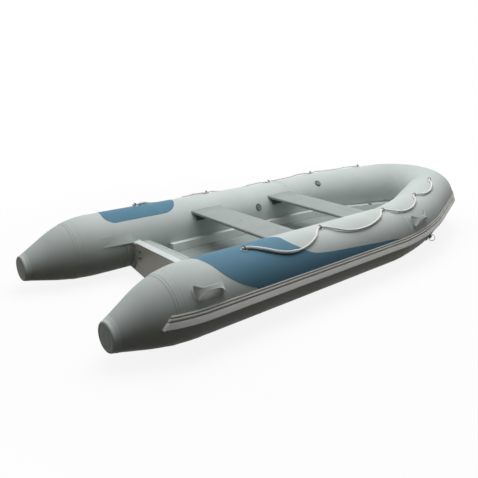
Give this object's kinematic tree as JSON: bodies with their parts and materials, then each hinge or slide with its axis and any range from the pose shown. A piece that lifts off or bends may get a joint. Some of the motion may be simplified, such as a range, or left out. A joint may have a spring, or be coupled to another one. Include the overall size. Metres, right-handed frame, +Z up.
{
  "type": "rigid inflatable boat",
  "caption": "Open inflatable boat with grey air tubes round a rigid hull, two benches, raked transom, rubbing strake, lifelines, grab handles and towing rings.",
  "frame": {"origin": "centre of the boat's length and beam, on the ground under the tubes", "axes": "+X towards the bow, +Y to port, +Z up"},
  "size_m": [4.122, 1.716, 0.5509],
  "materials": {
    "tube_fabric": "satin coated fabric, light grey",
    "panel_fabric": "satin coated fabric, blue",
    "cap_rubber": "satin",
    "strake_rubber": "satin",
    "hull_laminate": "gloss gelcoat",
    "deck_laminate": "satin gelcoat",
    "transom_laminate": "satin gelcoat",
    "capping": "satin",
    "dark_rubber": "matt",
    "steel": "polished",
    "bench_board": "satin",
    "holder_rubber": "satin",
    "valve_plastic": "satin",
    "rope": "braided cord"
  },
  "bodies": {
    "boat": {"bench_aft": "bench_board", "bench_bracket_aft_port": "dark_rubber", "bench_bracket_aft_starboard": "dark_rubber", "bench_bracket_fore_port": "dark_rubber", "bench_bracket_fore_starboard": "dark_rubber", "bench_fore": "bench_board", "cone_cap_port": "cap_rubber", "cone_cap_starboard": "cap_rubber", "cone_port": "tube_fabric", "cone_starboard": "tube_fabric", "deck": "deck_laminate", "deck_side_port": "deck_laminate", "deck_side_starboard": "deck_laminate", "handle_bow_port": "holder_rubber", "handle_bow_starboard": "holder_rubber", "handle_stern_port": "holder_rubber", "handle_stern_starboard": "holder_rubber", "hull": "hull_laminate", "panel_port": "panel_fabric", "panel_starboard": "panel_fabric", "ring_patch_port": "holder_rubber", "ring_patch_starboard": "holder_rubber", "rope_holders_port": "holder_rubber", "rope_holders_starboard": "holder_rubber", "rope_port": "rope", "rope_starboard": "rope", "stern_eye_port": "steel", "stern_eye_starboard": "steel", "strake_bow": "strake_rubber", "strake_port": "strake_rubber", "strake_starboard": "strake_rubber", "transom": "transom_laminate", "transom_bracket_port": "dark_rubber", "transom_bracket_starboard": "dark_rubber", "transom_cap": "capping", "transom_shelf": "deck_laminate", "tube_bow": "tube_fabric", "tube_port": "tube_fabric", "tube_starboard": "tube_fabric", "valve_aft_port": "valve_plastic", "valve_aft_starboard": "valve_plastic", "valve_fore_port": "valve_plastic", "valve_fore_starboard": "valve_plastic"},
    "ring_port": {"tow_ring_port": "steel"},
    "ring_starboard": {"tow_ring_starboard": "steel"}
  },
  "joints": [
    {"name": "tow_ring_port_swing", "type": "hinge", "parent": "boat", "child": "ring_port", "pos_m": [0.88084, 0.76733, 0.15498], "axis": [-0.0312, -0.4283, -0.9031], "range_deg": [-75, 75]},
    {"name": "tow_ring_starboard_swing", "type": "hinge", "parent": "boat", "child": "ring_starboard", "pos_m": [0.88084, -0.76733, 0.15498], "axis": [0.0312, -0.4283, 0.9031], "range_deg": [-75, 75]}
  ]
}
